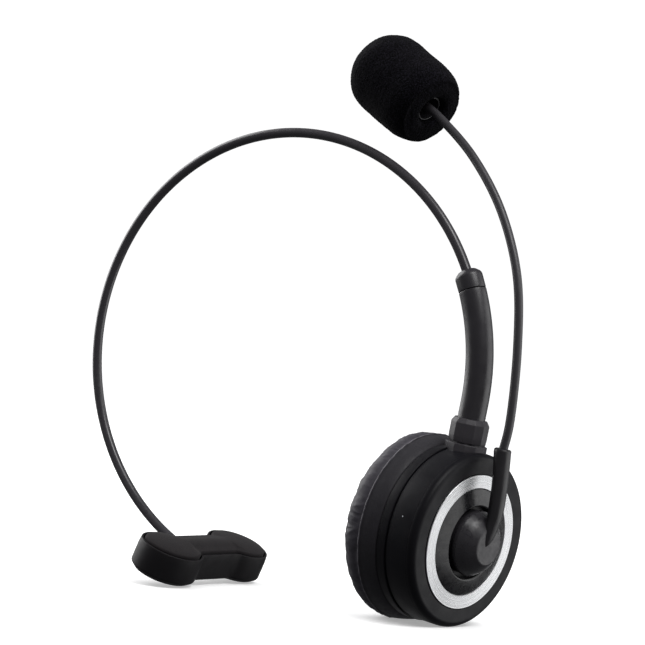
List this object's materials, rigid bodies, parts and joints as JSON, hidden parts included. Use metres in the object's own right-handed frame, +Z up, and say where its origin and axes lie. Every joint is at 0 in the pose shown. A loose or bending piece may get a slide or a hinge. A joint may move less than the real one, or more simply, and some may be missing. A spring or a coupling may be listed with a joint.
{
  "type": "office headset",
  "caption": "Mono wireless office headset: a sprung wire headband with a temple pad, a swivelling ear cup, and a turning boom microphone in a foam windscreen.",
  "frame": {"origin": "on the surface that the headset stands on, under the middle of its bounding box", "axes": "+X towards the ear cup, +Z up, the headband lies in the plane y = 0"},
  "size_m": [0.1756, 0.0674, 0.1989],
  "materials": {
    "satin_plastic": "satin",
    "gloss_plastic": "piano black",
    "soft_rubber": "soft touch",
    "leatherette": "fine grain",
    "band_coating": "smooth extruded coating",
    "spun_aluminium": "circular spun",
    "spring_steel": "bright",
    "brass": "turned",
    "speaker_cloth": "fine acoustic cloth",
    "diaphragm_film": "clear film",
    "circuit_board": "green solder mask",
    "battery_wrap": "foil pouch",
    "light_pipe": "frosted clear",
    "foam": "open-cell foam"
  },
  "bodies": {
    "yoke": {"sleeve_tube": "satin_plastic", "sleeve_cap": "satin_plastic", "friction_bush": "brass", "sleeve_nut": "satin_plastic", "swivel_stem": "spring_steel", "stem_clip": "spring_steel"},
    "band": {"band_coating": "band_coating", "band_wire": "spring_steel", "band_end_stop": "spring_steel", "pad_swivel_pin": "spring_steel"},
    "temple_pad": {"pad_tray": "satin_plastic", "pad_cushion": "leatherette", "pad_clamp": "satin_plastic", "pad_screw_1": "spring_steel", "pad_screw_2": "spring_steel"},
    "ear_cup": {"ear_cushion": "leatherette", "cushion_plate": "satin_plastic", "speaker_cloth": "speaker_cloth", "rear_housing": "satin_plastic", "main_housing": "satin_plastic", "front_bezel": "satin_plastic", "trim_ring": "spun_aluminium", "face_disc": "gloss_plastic", "stem_collar": "satin_plastic", "speaker_frame": "spring_steel", "speaker_magnet": "spring_steel", "speaker_diaphragm": "diaphragm_film", "circuit_board": "circuit_board", "radio_module": "spring_steel", "battery": "battery_wrap", "button_switch_1": "soft_rubber", "button_switch_2": "soft_rubber", "button_switch_3": "soft_rubber", "charging_socket": "spring_steel", "socket_tongue": "soft_rubber", "status_light": "light_pipe", "housing_screw_1": "spring_steel", "housing_screw_2": "spring_steel", "housing_screw_3": "spring_steel", "friction_spring": "spring_steel"},
    "mic_arm": {"mic_arm": "satin_plastic", "pivot_screw": "spring_steel", "pivot_washer": "spring_steel", "boom_tube": "soft_rubber", "boom_wire": "spring_steel", "mic_holder": "gloss_plastic", "mic_capsule": "spring_steel", "foam_windscreen": "foam"},
    "call_button": {"call_button": "soft_rubber"},
    "volume_up_button": {"volume_up_button": "soft_rubber"},
    "volume_down_button": {"volume_down_button": "soft_rubber"}
  },
  "joints": [
    {"name": "cup_swivel", "type": "hinge", "parent": "yoke", "child": "ear_cup", "pos_m": [0.07088, 0, 0.07518], "axis": [0.1028, 0, 0.9947], "range_deg": [-50, 70]},
    {"name": "band_adjust", "type": "hinge", "parent": "yoke", "child": "band", "pos_m": [-0.0074, 0, 0.08327], "axis": [0, -1, 0], "range_deg": [-9, 9.5]},
    {"name": "pad_swivel", "type": "hinge", "parent": "band", "child": "temple_pad", "pos_m": [-0.03972, 0, 0.01151], "axis": [0.9118, 0, -0.4107], "range_deg": [-12, 12]},
    {"name": "mic_arm_turn", "type": "hinge", "parent": "ear_cup", "child": "mic_arm", "pos_m": [0.06623, 0, 0.03017], "axis": [0.9812, -0.1642, -0.1014], "range_deg": [-150, 150]},
    {"name": "call_press", "type": "slide", "parent": "ear_cup", "child": "call_button", "axis": [-0.1633, -0.9864, 0.0169], "range_m": [0, 0.0006], "stiffness_N_per_m": 500, "springref_m": -0.0008},
    {"name": "volume_up_press", "type": "slide", "parent": "ear_cup", "child": "volume_up_button", "axis": [-0.1899, -0.9146, -0.357], "range_m": [0, 0.0006], "stiffness_N_per_m": 500, "springref_m": -0.0008},
    {"name": "volume_down_press", "type": "slide", "parent": "ear_cup", "child": "volume_down_button", "axis": [-0.1129, -0.9146, 0.3883], "range_m": [0, 0.0006], "stiffness_N_per_m": 500, "springref_m": -0.0008}
  ]
}
